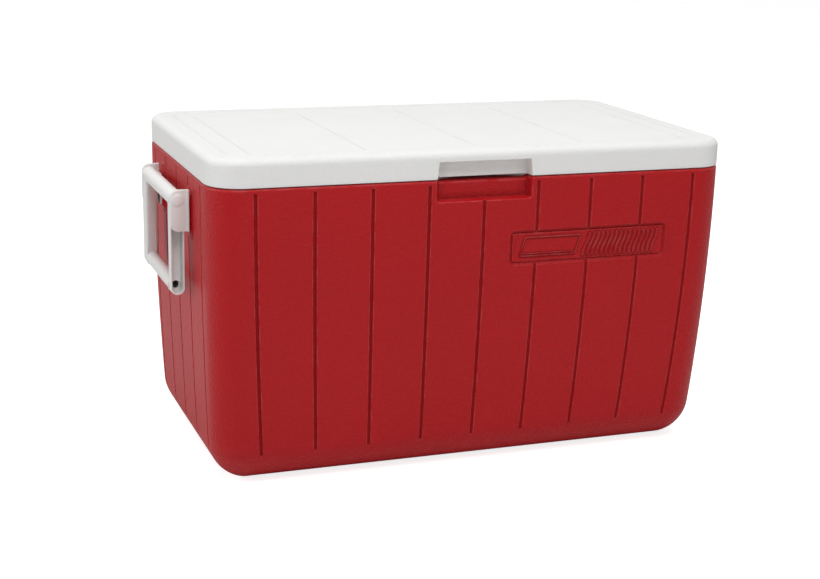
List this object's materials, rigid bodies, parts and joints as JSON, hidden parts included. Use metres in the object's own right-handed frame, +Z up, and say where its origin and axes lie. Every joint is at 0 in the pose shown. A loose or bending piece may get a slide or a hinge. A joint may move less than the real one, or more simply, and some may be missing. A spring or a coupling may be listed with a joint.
{
  "type": "camping ice chest",
  "caption": "Insulated camping ice chest with plank-grooved walls, hinged lid with a finger notch, swing-up end handles and a capped drain.",
  "frame": {"origin": "middle of the base, where the chest stands on the ground", "axes": "+X along the length toward the drain end, -Y toward the front with the finger recess, +Z up"},
  "size_m": [0.7024, 0.3906, 0.3956],
  "materials": {
    "body_red": "satin",
    "lid_white": "satin",
    "liner_white": "satin",
    "handle_white": "satin",
    "fitting_white": "satin",
    "insulation": "matte",
    "steel": "satin",
    "rubber": "matte"
  },
  "bodies": {
    "chest": {"body_shell": "body_red", "body_foam": "insulation", "body_liner": "liner_white", "badge_plate": "body_red", "hinge_left_body_leaf": "fitting_white", "hinge_left_pin": "steel", "hinge_right_body_leaf": "fitting_white", "hinge_right_pin": "steel", "hinge_body_screws": "steel", "handle_left_bracket_front": "handle_white", "handle_left_bracket_rear": "handle_white", "handle_right_bracket_front": "handle_white", "handle_right_bracket_rear": "handle_white", "handle_left_screws": "steel", "handle_right_screws": "steel", "drain_spout": "fitting_white", "drain_washer": "rubber", "drain_nut": "fitting_white"},
    "lid": {"lid_cover": "lid_white", "lid_foam": "insulation", "lid_liner": "liner_white", "hinge_left_lid_leaf": "fitting_white", "hinge_right_lid_leaf": "fitting_white", "hinge_lid_screws": "steel"},
    "handle_left": {"handle_left_bail": "handle_white"},
    "handle_right": {"handle_right_bail": "handle_white"},
    "drain_cap": {"drain_cap": "fitting_white"}
  },
  "joints": [
    {"name": "lid_hinge", "type": "hinge", "parent": "chest", "child": "lid", "pos_m": [0, 0.1936, 0.3628], "axis": [-1, 0, 0], "range_deg": [0, 110]},
    {"name": "handle_left_swing", "type": "hinge", "parent": "chest", "child": "handle_left", "pos_m": [-0.342, 0, 0.3325], "axis": [0, 1, 0], "range_deg": [-1, 100]},
    {"name": "handle_right_swing", "type": "hinge", "parent": "chest", "child": "handle_right", "pos_m": [0.342, 0, 0.3325], "axis": [0, -1, 0], "range_deg": [-1, 100]},
    {"name": "drain_cap_turn", "type": "hinge", "parent": "chest", "child": "drain_cap", "pos_m": [0.325, 0, 0.068], "axis": [1, 0, 0], "range_deg": [0, 540]}
  ]
}
